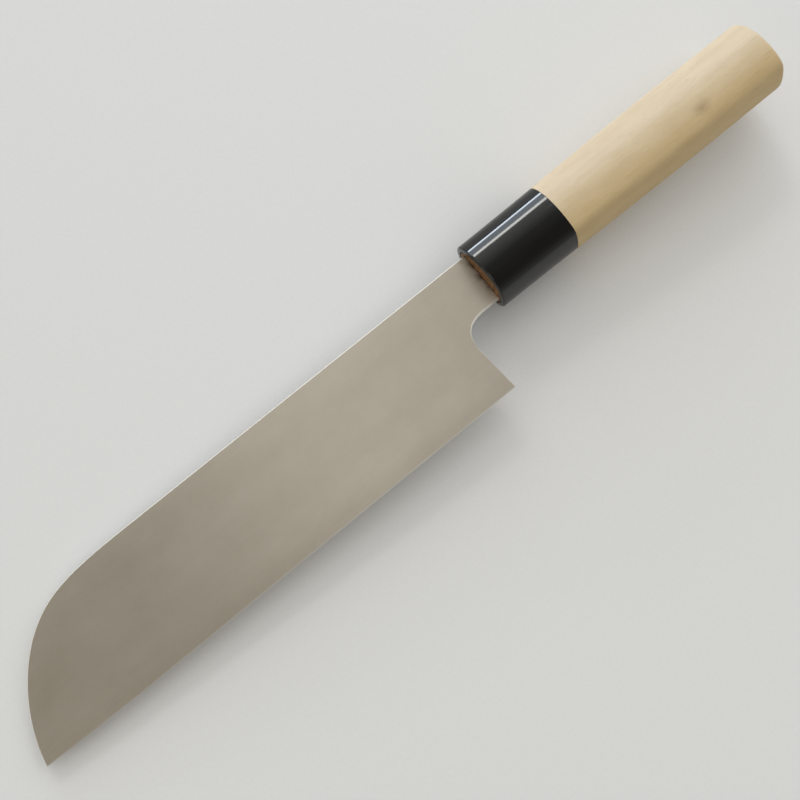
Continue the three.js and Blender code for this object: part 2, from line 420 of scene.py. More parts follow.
steel_back = blade_layer("steel_back", back_up, False)
blade_end = place(hollow_right + HOLLOW_RIM, 0).x
pick("FACE", on_back)
bpy.ops.mesh.bisect(plane_co=(blade_end, 0, 0), plane_no=(1, 0, 0), threshold=TIGHT)
pick("FACE", lambda f: on_back(f) and middle(f).x < blade_end)
bpy.ops.mesh.delete(type="ONLY_FACE")
print("rim of the hollow fills between", open_loops(steel_back, hollow_outline()), "edges")
bpy.ops.mesh.fill(use_beauty=True)
close_loop()

# %% [markdown]
# ## Sinking the hollow
# On the bench a round wheel grinds the hollow. Here its face is extruded down and made smaller step by
# step, gently at first and at last, which leaves no line where the hollow starts. A sculpted or displaced
# face would do too, but it would need far more faces to stay this smooth.

# %% Sink the hollow
HOLLOW_STEPS = 8
HOLLOW_SLOPE = 12.0
HOLLOW_DEPTH = 0.18
hollow_centre = place((hollow_left + hollow_right) / 2, (hollow_low + hollow_top) / 2, back_up)
hollow_halves = ((hollow_right - hollow_left) / 2, (hollow_top - hollow_low) / 2)


def ease(value, low, high):
    """Smooth step from 0 to 1 between two values."""
    share = min(max((value - low) / (high - low), 0), 1)
    return share * share * (3 - 2 * share)


for step in range(HOLLOW_STEPS):
    drop = (ease(step + 1, 0, HOLLOW_STEPS) - ease(step, 0, HOLLOW_STEPS)) * HOLLOW_DEPTH
    bpy.ops.mesh.extrude_region_move(TRANSFORM_OT_translate={"value": (0, 0, -drop * MM)})
    now = [half - HOLLOW_SLOPE * step / HOLLOW_STEPS for half in hollow_halves]
    then = [half - HOLLOW_SLOPE * (step + 1) / HOLLOW_STEPS for half in hollow_halves]
    shares = (then[0] / now[0], then[1] / now[1], 1)
    bpy.ops.transform.resize(value=shares, center_override=hollow_centre)
finish_mesh(steel_back, SMOOTH_ANGLE)
print("hollow is", HOLLOW_DEPTH, "mm deep")

# %% [markdown]
# ## The soft iron front
# The rest of the blade's thickness is soft iron, which also runs back as the neck and the tang. It is the
# same profile with the tang drawn on, extruded the other way from the weld and ground by the same plane, so
# the weld shows on the bevel as one straight line.

# %% Model the soft iron front
iron_front = blade_layer("iron_front", front_up, True)
finish_mesh(iron_front, SMOOTH_ANGLE)

# %% [markdown]
# ## The handle's section
# The handle is a D: a broad, gently domed back, a ridge that tells the hand which way the edge faces, a
# steep flat below it and an oval underside. One closed Bezier outline draws it, with short handles at the
# ridge so that it is crisp and still rounded.

# %% D section
ROUND = 0.5523
CROWN_OFFSET = 2.0
RIDGE_INSET = 4.3
RIDGE_DROP = 1.3
RIDGE_LEAN = 37.0
RIDGE_SOFT = 1.3
CROWN_PULL = 3.6
SIDE_PULL = 3.4
SECTION_STEPS = 18

half_width = (handle_high.y - handle_low.y) / 2 / MM
half_thick = (handle_high.z - handle_low.z) / 2 / MM


def d_section(name, ahead):
    """The handle's section at its widest, drawn across the axis."""
    side = half_width
    crown = half_thick
    ridge = Vector((RIDGE_INSET - side, crown - RIDGE_DROP))
    lean_angle = math.radians(RIDGE_LEAN)
    lean = Vector((math.cos(lean_angle), math.sin(lean_angle))) * RIDGE_SOFT
    dome_pull = ROUND * (side + CROWN_OFFSET) - CROWN_OFFSET

    def at(across, up):
        return place(ahead, across, up)

    strokes = [
        (at(side, ROUND * crown), at(dome_pull, crown), at(-CROWN_OFFSET, crown)),
        (at(-CROWN_OFFSET - CROWN_PULL, crown), at(*(ridge + lean)), at(*ridge)),
        (at(*(ridge - lean)), at(-side, SIDE_PULL), at(-side, 0)),
        (at(-side, -ROUND * crown), at(-ROUND * side, -crown), at(0, -crown)),
        (at(ROUND * side, -crown), at(side, -ROUND * crown), at(side, 0)),
    ]
    return trace(name, at(side, 0), strokes, SECTION_STEPS)


print("section is", round(2 * half_width, 2), "by", round(2 * half_thick, 2), "mm")

# %% [markdown]
# ## Swelling along the handle
# The handle is slimmest at the ferrule's mouth, swells to a belly and eases back to the butt. Extruding the
# section ring by ring and resizing each ring keeps full control of that line, which scaling a finished
# cylinder with a modifier wouldn't.

# %% Swell helpers
BELLY_FROM_BUTT = 36.0
MOUTH_WIDTH = 23.5
BUTT_WIDTH = 24.85
MOUTH_THICKNESS = 19.6
BUTT_THICKNESS = 20.6

belly = handle_length - BELLY_FROM_BUTT


def swell(ahead):
    """Width and thickness at a place along the handle, as shares of those at the belly."""
    wide = 2 * half_width
    thick = 2 * half_thick
    rise = ease(ahead, 0, belly)
    loss = ease(ahead, belly, handle_length)
    width = MOUTH_WIDTH + (wide - MOUTH_WIDTH) * rise - (wide - BUTT_WIDTH) * loss
    thickness = MOUTH_THICKNESS + (thick - MOUTH_THICKNESS) * rise - (thick - BUTT_THICKNESS) * loss
    return width / wide, thickness / thick


def resize_ring(now, then, ahead):
    """Resize the selected ring about the axis from one pair of shares to another."""
    shares = (1, then[0] / now[0], then[1] / now[1])
    bpy.ops.transform.resize(value=shares, center_override=place(ahead, 0))


def extrude_rings(stations):
    """Extrude the selected section through places along the handle, giving each ring its swell."""
    resize_ring((1, 1), swell(stations[0]), stations[0])
    for here, there in zip(stations, stations[1:]):
        bpy.ops.mesh.extrude_region_move(TRANSFORM_OT_translate={"value": ((there - here) * MM, 0, 0)})
        resize_ring(swell(here), swell(there), there)


print("mouth is", [round(s, 3) for s in swell(0)], "of the belly")

# %% [markdown]
# ## The ferrule
# The ferrule is a polished black tube that keeps the wood from splitting. It is drawn solid, its two ends
# are inset by the wall and opened, and the inner rims are bridged to make the bore. A solidify modifier on
# an open tube would do too, but because the tube swells, its ends would not come out quite flat. Two rings
# are set just behind the ends, where the rims are rounded next: they hold the smooth shading of the round,
# which would otherwise bend the reflections on the rest of the tube.

# %% Model the ferrule
FERRULE_WALL = 1.7
LIP_ROUND = 0.55
SEAM_ROUND = 0.12
HOLD = 0.15
ferrule_length = (joint_x - mouth_x) / MM

ferrule_tube = d_section("ferrule_tube", 0)
near_lip = LIP_ROUND + HOLD
near_seam = ferrule_length - SEAM_ROUND - HOLD
extrude_rings([0, near_lip, ferrule_length / 3, ferrule_length * 2 / 3, near_seam, ferrule_length])
bpy.ops.mesh.select_all(action="SELECT")
bpy.ops.mesh.normals_make_consistent(inside=False)
for end in (mouth_x, joint_x):
    pick("FACE", lambda f: lies_at(f, end))
    bpy.ops.mesh.inset(thickness=FERRULE_WALL * MM, depth=0)
    bpy.ops.mesh.delete(type="ONLY_FACE")
pick("EDGE", lambda e: e.is_boundary)
bpy.ops.mesh.bridge_edge_loops()
print("bore opened through", round(ferrule_length, 2), "mm of ferrule")

# %% [markdown]
# ## The ferrule's rims
# A polished edge is never quite sharp, and its roundness is what catches the light. The mouth's rim is
# buffed round, and the rim at the wood is only broken, so that the seam stays fine. The bevel operator
# rounds the edges that are selected, so each rim is picked by its place and rounded by its own width.

# %% Round the ferrule's rims
LIP_SEGMENTS = 3
SEAM_SEGMENTS = 2
FERRULE_SMOOTH = 22


def faces_outwards(face):
    """Whether a face of the tube's wall is on the outside."""
    across = abs(face.normal.x) < face.normal.yz.length
    return across and face.normal.dot(middle(face) - place(0, 0)) > 0


def outer_rim(x):
    """A test for the edges on the outside of the tube's end at one place."""
    return lambda edge: lies_at(edge, x) and any(faces_outwards(face) for face in edge.link_faces)


print("mouth rim", pick("EDGE", outer_rim(mouth_x)), "edges")
bpy.ops.mesh.bevel(offset=LIP_ROUND * MM, segments=LIP_SEGMENTS, affect="EDGES")
print("seam rim", pick("EDGE", outer_rim(joint_x)), "edges")
bpy.ops.mesh.bevel(offset=SEAM_ROUND * MM, segments=SEAM_SEGMENTS, affect="EDGES")
finish_mesh(ferrule_tube, FERRULE_SMOOTH)

# %% [markdown]
# ## The wooden handle
# The wood is one piece: the grip, and a tenon that fills the ferrule and shows its end round the neck. It
# could be two pieces that overlap, but then their grain would not run through. So the grip is extruded ring
# by ring, the butt's rim is rounded, and the front face is inset and drawn forward as the tenon.

# %% Model the wooden handle
FIT_GAP = 0.3
TENON_SETBACK = 0.02
BUTT_ROUND = 1.1
BUTT_SEGMENTS = 4
RING_COUNT = 12
WOOD_SMOOTH = 30

ring_step = (handle_length - ferrule_length) / RING_COUNT
stations = [ferrule_length + ring_step * i for i in range(RING_COUNT)]
stations += [handle_length - BUTT_ROUND - HOLD, handle_length]
wood_handle = d_section("wood_handle", ferrule_length)
extrude_rings(stations)
bpy.ops.mesh.select_all(action="SELECT")
bpy.ops.mesh.normals_make_consistent(inside=False)
pick("EDGE", lambda e: lies_at(e, butt_x))
bpy.ops.mesh.bevel(offset=BUTT_ROUND * MM, segments=BUTT_SEGMENTS, affect="EDGES")
pick("FACE", lambda f: lies_at(f, joint_x))
bpy.ops.mesh.inset(thickness=(FERRULE_WALL + FIT_GAP) * MM, depth=0)
reach = ferrule_length - TENON_SETBACK
bpy.ops.mesh.extrude_region_move(TRANSFORM_OT_translate={"value": (-reach * MM, 0, 0)})
resize_ring(swell(ferrule_length), swell(0), TENON_SETBACK)
finish_mesh(wood_handle, WOOD_SMOOTH)

# %% [markdown]
# ## The slot for the tang
# On the bench the slot is drilled, burnt and chiselled out of the tenon. Faces could be cut in by hand, but
# a boolean does what the chisel does: a tapering block, a little larger than the tang, is taken away from
# the wood.

# %% Chisel the slot for the tang
SLOT_MARGIN = 1.6

start_fresh()
bpy.ops.mesh.primitive_cube_add(size=1)
chisel = bpy.context.object
chisel.name = "chisel"
edit(chisel)
slot_length = tang_end + 2 * SLOT_MARGIN
slot_height = TANG_HEIGHT + 2 * SLOT_MARGIN
slot_thick = (weld_z - front_z) / MM + 2 * SLOT_MARGIN
slot_size = Vector((slot_length, slot_height, slot_thick)) * MM
bpy.ops.transform.resize(value=slot_size, center_override=(0, 0, 0))
centre = place(slot_length / 2 - SLOT_MARGIN, 0, (weld_up + front_up) / 2)
bpy.ops.transform.translate(value=centre)
pick("VERT", lambda v: v.co.x > centre.x)
narrowing = (TANG_END_HEIGHT + 2 * SLOT_MARGIN) / slot_height
bpy.ops.transform.resize(value=(1, narrowing, 1), center_override=centre)
start_fresh()
wood_handle.select_set(True)
bpy.context.view_layer.objects.active = wood_handle
bpy.ops.object.modifier_add(type="BOOLEAN")
cut = wood_handle.modifiers[-1]
cut.operation = "DIFFERENCE"
cut.object = chisel
bpy.ops.object.modifier_apply(modifier=cut.name)
bpy.data.objects.remove(chisel)
bpy.ops.object.shade_smooth_by_angle(angle=math.radians(WOOD_SMOOTH))
print("slot cut,", len(wood_handle.data.polygons), "faces in the wood")

# %% [markdown]
# ## Materials from nodes
# Each finish is a Principled shader fed by procedural textures on Object coordinates. A painted picture
# would do too, but it would have to be unwrapped and would blur close up, while nodes follow the piece at
# any size. Small helpers place the nodes. The first ones make a pattern: noise stretched along an axis, and
# a ramp that turns its grey values into colours.

# %% Pattern helpers
NOISE_SPAN = (0.3, 0.7)


def new_material(name):
    """A material with its node tree, Principled shader and Object coordinates."""
    material = bpy.data.materials.new(name)
    material.use_nodes = True
    tree = material.node_tree
    shader = tree.nodes["Principled BSDF"]
    coords = tree.nodes.new("ShaderNodeTexCoord")
    return material, tree, shader, coords.outputs["Object"]


def stretched_noise(tree, vector, scale, size, detail, rough=0.55):
    """Noise drawn out along an axis: scale stretches space, size sets how fine it is."""
    mapping = tree.nodes.new("ShaderNodeMapping")
    mapping.inputs["Scale"].default_value = scale
    tree.links.new(vector, mapping.inputs["Vector"])
    noise = tree.nodes.new("ShaderNodeTexNoise")
    noise.inputs["Scale"].default_value = size
    noise.inputs["Detail"].default_value = detail
    noise.inputs["Roughness"].default_value = rough
    tree.links.new(mapping.outputs["Vector"], noise.inputs["Vector"])
    return noise.outputs["Fac"]


def ramp(tree, value, stops):
    """Colour ramp through (position, colour) stops."""
    node = tree.nodes.new("ShaderNodeValToRGB")
    band = node.color_ramp
    while len(band.elements) < len(stops):
        band.elements.new(0.5)
    for element, (position, colour) in zip(band.elements, stops):
        element.position = position
        element.color = (*colour, 1)
    tree.links.new(value, node.inputs["Fac"])
    return node.outputs["Color"]


print("nearly all noise lies between", NOISE_SPAN[0], "and", NOISE_SPAN[1])

# %% [markdown]
# ## Mixing the patterns
# A real finish is several things on top of each other: a colour, a haze, a stain, wear on the rims. More
# helpers lay one pattern over another, read where on the piece a point lies and which way it faces, and
# raise a pattern as fine relief. One large node group would do the same, but it would be hard to read.

# %% Mixing helpers


def blend(tree, share, first, second, mode="MIX"):
    """Mix two colours by a share."""
    node = tree.nodes.new("ShaderNodeMix")
    node.data_type = "RGBA"
    node.blend_type = mode
    colours = [socket for socket in node.inputs if socket.type == "RGBA"]
    for socket, value in ((node.inputs["Factor"], share), (colours[0], first), (colours[1], second)):
        if isinstance(value, bpy.types.NodeSocket):
            tree.links.new(value, socket)
        else:
            socket.default_value = value
    return next(socket for socket in node.outputs if socket.type == "RGBA")


def map_range(tree, value, low, high, new_low, new_high):
    """Stretch a value from one range to another, clamped at the ends."""
    node = tree.nodes.new("ShaderNodeMapRange")
    tree.links.new(value, node.inputs["Value"])
    node.inputs["From Min"].default_value = low
    node.inputs["From Max"].default_value = high
    node.inputs["To Min"].default_value = new_low
    node.inputs["To Max"].default_value = new_high
    return node.outputs["Result"]


def combine(tree, operation, *values):
    """Combine values in turn by a sum, product or other operation."""
    result = values[0]
    for value in values[1:]:
        node = tree.nodes.new("ShaderNodeMath")
        node.operation = operation
        tree.links.new(result, node.inputs[0])
        tree.links.new(value, node.inputs[1])
        result = node.outputs["Value"]
    return result


def split_axis(tree, vector, axis):
    """One coordinate of a place or direction."""
    node = tree.nodes.new("ShaderNodeSeparateXYZ")
    tree.links.new(vector, node.inputs["Vector"])
    return node.outputs[axis]


def facing(tree, axis):
    """How far the surface faces along an axis of the piece."""
    return split_axis(tree, tree.nodes.new("ShaderNodeTexCoord").outputs["Normal"], axis)


def bump(tree, shader, height, strength, distance):
    """Raise a height map on a shader."""
    node = tree.nodes.new("ShaderNodeBump")
    node.inputs["Strength"].default_value = strength
    node.inputs["Distance"].default_value = distance
    tree.links.new(height, node.inputs["Height"])
    tree.links.new(node.outputs["Normal"], shader.inputs["Normal"])


print("patterns can be mixed, mapped, combined and raised")

# %% [markdown]
# ## Satin steel
# The back is polished to an even satin: no single scratch can be told apart, but the shine is soft and
# drawn out a little along the blade. Cloudy noise shifts its warm grey by a hair, and noise stretched along
# X varies the roughness like polishing lines. Metal takes all its colour from the base colour. Two places
# are rougher, so they catch light from every side, and are also painted lighter, a painted highlight: the
# rim that was eased with a file, told by the direction it faces, and the fine strip along the edge that has
# been laid on the stone. Where the neck enters the handle, the steel is painted brown and blotchy, partly a
# stain and partly painted shade of the ferrule's mouth. It fades along X, and towards the neck's lower
# corner.

# %% Satin steel material
STEEL_CLOUDS = [(0.3, (0.665, 0.595, 0.49)), (0.7, (0.745, 0.675, 0.57))]
STEEL_LINES = [(0.35, (0.64, 0.585, 0.5)), (0.65, (0.76, 0.70, 0.605))]
STEEL_LINE_SHARE = 0.12
SATIN_ROUGHNESS = (0.355, 0.375)
# Painted highlight: the lighter colour of the filed rim and the stoned strip.
RIM_HIGHLIGHT_COLOUR = (0.80, 0.775, 0.72, 1)
FILED_ROUGHNESS = 0.75
FILED_FACING = (0.9985, 0.994)
STONED_ROUGHNESS = 0.55
STONED_WIDTH = 0.45
# Partly a stain, partly painted shade: the neck turns dark brown at the ferrule's mouth.
STAIN_AND_SHADE_COLOUR = (0.10, 0.06, 0.028, 1)
STAIN_AND_SHADE_REACH = 4.2
STAIN_AND_SHADE_BLOTCH_SPAN = (0.4, 0.6)
STAIN_AND_SHADE_BLOTCH_SHARE = 0.6
STAIN_AND_SHADE_CORNER = (1.0, 7.0)
STAIN_AND_SHADE_CORNER_SHARE = 0.25


def above_edge(tree, vector):
    """Height above the edge, which rises in a parabola to the point."""
    run_start = point_x + POINT_LIFT_RUN * MM
    share = map_range(tree, split_axis(tree, vector, "X"), run_start, point_x, 0.0, 1.0)
    squared = combine(tree, "MULTIPLY", share, share)
    edge_line = map_range(tree, squared, 0.0, 1.0, edge_y, edge_y + POINT_LIFT * MM)
    return combine(tree, "SUBTRACT", split_axis(tree, vector, "Y"), edge_line)


def stain_and_mouth_shade(tree, vector):
    """How much of the stain and painted shade shows on the neck, most at the ferrule's mouth."""
    along = split_axis(tree, vector, "X")
    near_mouth = map_range(tree, along, mouth_x - STAIN_AND_SHADE_REACH * MM, mouth_x, 0.0, 1.0)
    blotch = stretched_noise(tree, vector, (1, 1, 1), size=420.0, detail=2.0)
    blotch = map_range(tree, blotch, *STAIN_AND_SHADE_BLOTCH_SPAN, STAIN_AND_SHADE_BLOTCH_SHARE, 1.0)
    faintest_across, darkest_across = [place(0, neck_up + height).y for height in STAIN_AND_SHADE_CORNER]
    corner = map_range(tree, split_axis(tree, vector, "Y"), faintest_across, darkest_across, STAIN_AND_SHADE_CORNER_SHARE, 1.0)
    return combine(tree, "MULTIPLY", near_mouth, near_mouth, blotch, corner)


def satin_steel():
    """Hard steel with a fine satin polish along the blade."""
    material, tree, shader, vector = new_material("satin_steel")
    cloud = stretched_noise(tree, vector, (0.7, 1, 1), size=45.0, detail=6.0, rough=0.72)
    lines = stretched_noise(tree, vector, (0.02, 1, 1), size=2400.0, detail=2.0)
    tone = blend(tree, STEEL_LINE_SHARE, ramp(tree, cloud, STEEL_CLOUDS), ramp(tree, lines, STEEL_LINES))
    filed_and_highlight = map_range(tree, facing(tree, "Z"), *FILED_FACING, 0.0, 1.0)
    stoned_and_highlight = map_range(tree, above_edge(tree, vector), 0.0, STONED_WIDTH * MM, 1.0, 0.0)
    # Painted highlight: the filed rim and the stoned strip are painted lighter. Their roughness is real.
    tone = blend(tree, combine(tree, "MAXIMUM", filed_and_highlight, stoned_and_highlight), tone, RIM_HIGHLIGHT_COLOUR)
    # Painted shade with a stain: the neck darkens to brown where it enters the ferrule.
    tone = blend(tree, stain_and_mouth_shade(tree, vector), tone, STAIN_AND_SHADE_COLOUR)
    tree.links.new(tone, shader.inputs["Base Color"])
    satin = map_range(tree, lines, *NOISE_SPAN, *SATIN_ROUGHNESS)
    file_marks = map_range(tree, filed_and_highlight, 0.0, 1.0, 0.0, FILED_ROUGHNESS)
    stone_marks = map_range(tree, stoned_and_highlight, 0.0, 1.0, 0.0, STONED_ROUGHNESS)
    roughness = combine(tree, "MAXIMUM", satin, file_marks, stone_marks)
    tree.links.new(roughness, shader.inputs["Roughness"])
    shader.inputs["Metallic"].default_value = 1.0
    bump(tree, shader, lines, strength=0.01, distance=0.004 * MM)
    return material


dress(steel_back, "cutting_steel", satin_steel())
print("satin steel on", steel_back.name)

# %% [markdown]
# ## Hazy iron
# Soft iron comes off the finishing stone cloudy and a little darker, with fine lines across the bevel. One
# noise of many scales gives the cloud, and one stretched across the blade gives the stone's lines. A
# scratch picture would show its repeat on a blade this long.

# %% Hazy iron material
IRON_CLOUDS = [(0.3, (0.47, 0.455, 0.43)), (0.7, (0.56, 0.545, 0.515))]
IRON_LINES = [(0.3, (0.42, 0.41, 0.39)), (0.7, (0.6, 0.585, 0.555))]
IRON_LINE_SHARE = 0.25
HAZE_ROUGHNESS = (0.40, 0.52)


def hazy_iron():
    """Soft iron, cloudy from the finishing stone."""
    material, tree, shader, vector = new_material("hazy_iron")
    cloud = stretched_noise(tree, vector, (0.5, 1, 1), size=90.0, detail=6.0, rough=0.65)
    lines = stretched_noise(tree, vector, (1, 0.03, 0.03), size=1600.0, detail=2.0)
    tone = blend(tree, IRON_LINE_SHARE, ramp(tree, cloud, IRON_CLOUDS), ramp(tree, lines, IRON_LINES))
    tree.links.new(tone, shader.inputs["Base Color"])
    tree.links.new(map_range(tree, cloud, *NOISE_SPAN, *HAZE_ROUGHNESS), shader.inputs["Roughness"])
    shader.inputs["Metallic"].default_value = 1.0
    bump(tree, shader, lines, strength=0.05, distance=0.03 * MM)
    return material


dress(iron_front, "iron_body", hazy_iron())
print("hazy iron on", iron_front.name)

# %% [markdown]
# ## Polished black
# The ferrule is black all through and buffed to a deep gloss. Pure black would hide its form, so faint
# streaks lift the colour a little along the tube, and a slight unevenness in the roughness breaks up the
# highlights.

# %% Polished black material
BLACK_STREAKS = [(0.35, (0.0012, 0.0012, 0.0012)), (0.75, (0.004, 0.0038, 0.0034))]
GLOSS_ROUGHNESS = (0.055, 0.085)
GLOSS_IOR = 1.5


def polished_black():
    """Buffed black with faint streaks along the tube."""
    material, tree, shader, vector = new_material("polished_black")
    streaks = stretched_noise(tree, vector, (0.06, 1, 1), size=420.0, detail=4.0)
    tree.links.new(ramp(tree, streaks, BLACK_STREAKS), shader.inputs["Base Color"])
    buffing = stretched_noise(tree, vector, (0.3, 1, 1), size=160.0, detail=3.0)
    tree.links.new(map_range(tree, buffing, *NOISE_SPAN, *GLOSS_ROUGHNESS), shader.inputs["Roughness"])
    shader.inputs["IOR"].default_value = GLOSS_IOR
    bump(tree, shader, buffing, strength=0.01, distance=0.01 * MM)
    return material


dress(ferrule_tube, "ferrule", polished_black())
print("polished black on", ferrule_tube.name)

# %% [markdown]
# ## Rings of growth
# The wood was sawn from beside the heart of the tree, so its growth rings are arcs round an axis outside
# the handle. A Wave texture in its Rings form draws them round any axis that a Mapping node puts at its
# centre. They run almost straight along the grip, and show as arcs on the butt, where the grain is cut
# across.

# %% Growth rings
HEART = place(0, -30, -12)
RING_WIDTH = 1.6 * MM
RING_WOBBLE = {"Distortion": 2.4, "Detail": 2.0, "Detail Scale": 0.4}
WAVE_REPEAT = math.tau / 20
GRAIN = (0.05, 1, 1)


def growth_rings(tree, vector):
    """Rings of growth round the heart of the tree, which ran along X beside the handle."""
    centred = tree.nodes.new("ShaderNodeMapping")
    centred.inputs["Location"].default_value = (0, -HEART.y, -HEART.z)
    centred.inputs["Scale"].default_value = GRAIN
    tree.links.new(vector, centred.inputs["Vector"])
    wave = tree.nodes.new("ShaderNodeTexWave")
    wave.wave_type = "RINGS"
    wave.rings_direction = "X"
    wave.inputs["Scale"].default_value = WAVE_REPEAT / RING_WIDTH
    for name, value in RING_WOBBLE.items():
        wave.inputs[name].default_value = value
    tree.links.new(centred.outputs["Vector"], wave.inputs["Vector"])
    return wave.outputs["Fac"]


print("rings lie", RING_WIDTH / MM, "mm apart")

# %% [markdown]
# ## Fleck and scorch
# A small brown fleck sits on the handle's back. A Mapping node moves the fleck's middle to zero and scales
# it to one, so the distance from there is its shape, and a little cloud makes its rim ragged. The end of
# the tenon is scorched by the hot tang, so the colour turns brown there by its place along X.

# %% Fleck and scorch
FLECK = place(85.6, -2.5, 10.2)
FLECK_SIZE = (3.2 * MM, 1.9 * MM, 2.4 * MM)
FLECK_COLOUR = (0.31, 0.21, 0.10, 1)
FLECK_FADE = (0.6, 1.9)
FLECK_SHARE = 0.62
SCORCH_TONES = [(0.35, (0.06, 0.028, 0.009)), (0.65, (0.25, 0.112, 0.032))]
SCORCH_FADE = (2.5, 7.5)


def fleck(tree, vector, cloud):
    """How much of the fleck's colour shows."""
    centred = tree.nodes.new("ShaderNodeMapping")
    centred.inputs["Location"].default_value = [-c / s for c, s in zip(FLECK, FLECK_SIZE)]
    centred.inputs["Scale"].default_value = [1 / s for s in FLECK_SIZE]
    tree.links.new(vector, centred.inputs["Vector"])
    length = tree.nodes.new("ShaderNodeVectorMath")
    length.operation = "LENGTH"
    tree.links.new(centred.outputs["Vector"], length.inputs[0])
    ragged = combine(tree, "ADD", length.outputs["Value"], cloud)
    return map_range(tree, ragged, *FLECK_FADE, FLECK_SHARE, 0.0)


def scorch(tree, vector, tone):
    """A tone that turns brown towards the tenon's end."""
    burnt, sound = [place(ahead, 0).x for ahead in SCORCH_FADE]
    share = map_range(tree, split_axis(tree, vector, "X"), burnt, sound, 1.0, 0.0)
    char = stretched_noise(tree, vector, (1, 1, 1), size=700.0, detail=4.0, rough=0.6)
    return blend(tree, share, tone, ramp(tree, char, SCORCH_TONES))


print("scorch fades", SCORCH_FADE[1], "mm behind the mouth")

# %% [markdown]
# ## Pale wood
# The handle's wood is creamy, close grained and left bare. Slow noise stretched far along X makes its
# bands, a finer one the fibres and a sparse one the short dark pores. The side towards the edge, away from
# the light, is painted darker and more golden: painted shade. Each layer multiplies the one before, as a
# stain or a shadow would, so the order matters little and each can be tuned by itself.

# %% Pale wood material
WOOD_BANDS = [(0.3, (0.615, 0.498, 0.347)), (0.5, (0.645, 0.53, 0.382)), (0.7, (0.665, 0.556, 0.41))]
WOOD_CLOUDS = [(0.3, (0.93, 0.91, 0.88)), (0.6, (1.0, 1.0, 1.0))]
WOOD_RINGS = [(0.1, (0.80, 0.74, 0.64)), (0.7, (1.0, 1.0, 1.0))]
WOOD_FIBRES = [(0.3, (0.86, 0.83, 0.78)), (0.65, (1.0, 1.0, 1.0))]
WOOD_PORES = [(0.27, (0.62, 0.52, 0.4)), (0.36, (1.0, 1.0, 1.0))]
CLOUD_SHARE = 0.75
RING_SHARE = 0.05
END_RING_SHARE = 0.42
END_FACING = (0.7, 0.98)
FIBRE_SHARE = 0.42
PORE_SHARE = 0.3
# Painted shade: the wood's edge side, away from the light, is tinted darker and more golden.
SHADE_SIDE_TINT = (0.945, 0.87, 0.645, 1)
SHADE_SIDE_SPAN = (6.5, -5.0)
WOOD_ROUGHNESS = (0.5, 0.66)
WOOD_SHINE = 0.35


def pale_wood():
    """Bare creamy wood with straight grain, a fleck and a scorched tenon."""
    material, tree, shader, vector = new_material("pale_wood")
    bands = stretched_noise(tree, vector, GRAIN, size=170.0, detail=3.0, rough=0.5)
    cloud = stretched_noise(tree, vector, (0.4, 1, 1), size=260.0, detail=4.0, rough=0.6)
    fibres = stretched_noise(tree, vector, GRAIN, size=1500.0, detail=4.0, rough=0.65)
    pores = stretched_noise(tree, vector, (0.1, 1, 1), size=2600.0, detail=2.0, rough=0.5)
    pale, golden = [place(0, across).y for across in SHADE_SIDE_SPAN]
    shade_side = map_range(tree, split_axis(tree, vector, "Y"), pale, golden, 0.0, 1.0)
    ring_share = map_range(tree, facing(tree, "X"), *END_FACING, RING_SHARE, END_RING_SHARE)
    rings = ramp(tree, growth_rings(tree, vector), WOOD_RINGS)

    tone = ramp(tree, bands, WOOD_BANDS)
    tone = blend(tree, CLOUD_SHARE, tone, ramp(tree, cloud, WOOD_CLOUDS), "MULTIPLY")
    # Painted shade: darker and more golden towards the edge side.
    tone = blend(tree, shade_side, tone, SHADE_SIDE_TINT, "MULTIPLY")
    tone = blend(tree, ring_share, tone, rings, "MULTIPLY")
    tone = blend(tree, FIBRE_SHARE, tone, ramp(tree, fibres, WOOD_FIBRES), "MULTIPLY")
    tone = blend(tree, PORE_SHARE, tone, ramp(tree, pores, WOOD_PORES), "MULTIPLY")
    tone = blend(tree, fleck(tree, vector, cloud), tone, FLECK_COLOUR)
    tree.links.new(scorch(tree, vector, tone), shader.inputs["Base Color"])
    tree.links.new(map_range(tree, fibres, *NOISE_SPAN, *WOOD_ROUGHNESS), shader.inputs["Roughness"])
    shader.inputs["Specular IOR Level"].default_value = WOOD_SHINE
    bump(tree, shader, fibres, strength=0.07, distance=0.04 * MM)
    return material


dress(wood_handle, "handle", pale_wood())
print("pale wood on", wood_handle.name)

# %% [markdown]
# ## Set resin
# Only a sliver of the resin shows, at the slot's mouth. Its solid has the right shape, so it stays and only
# gets a dark, slightly glossy material with a little cloud in it.

# %% Set resin material
RESIN_CLOUDS = [(0.3, (0.05, 0.026, 0.012)), (0.7, (0.11, 0.06, 0.028))]
RESIN_ROUGHNESS = (0.35, 0.55)


def set_resin():
    """Dark brown resin, cloudy inside."""
    material, tree, shader, vector = new_material("set_resin")
    cloud = stretched_noise(tree, vector, (1, 1, 1), size=300.0, detail=4.0)
    tree.links.new(ramp(tree, cloud, RESIN_CLOUDS), shader.inputs["Base Color"])
    tree.links.new(map_range(tree, cloud, *NOISE_SPAN, *RESIN_ROUGHNESS), shader.inputs["Roughness"])
    return material


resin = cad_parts["tang_resin"]
resin.data.materials.clear()
resin.data.materials.append(set_resin())
print("set resin on", resin.name)

# %% [markdown]
# ## Floor
# Let go on its side, this knife would settle nose down and rolled about ten degrees onto its edge, because
# the handle's underside is oval. The pieces have to stay square to the frame, so the knife can't be turned.
# The floor leans along the knife instead, and lies just under the ferrule's lower rim and the front of the
# nose. It leaves out the roll, which a floor that leans sideways as well would show. It is matt and pale,
# so that it lights the knife from below without a mirror image.

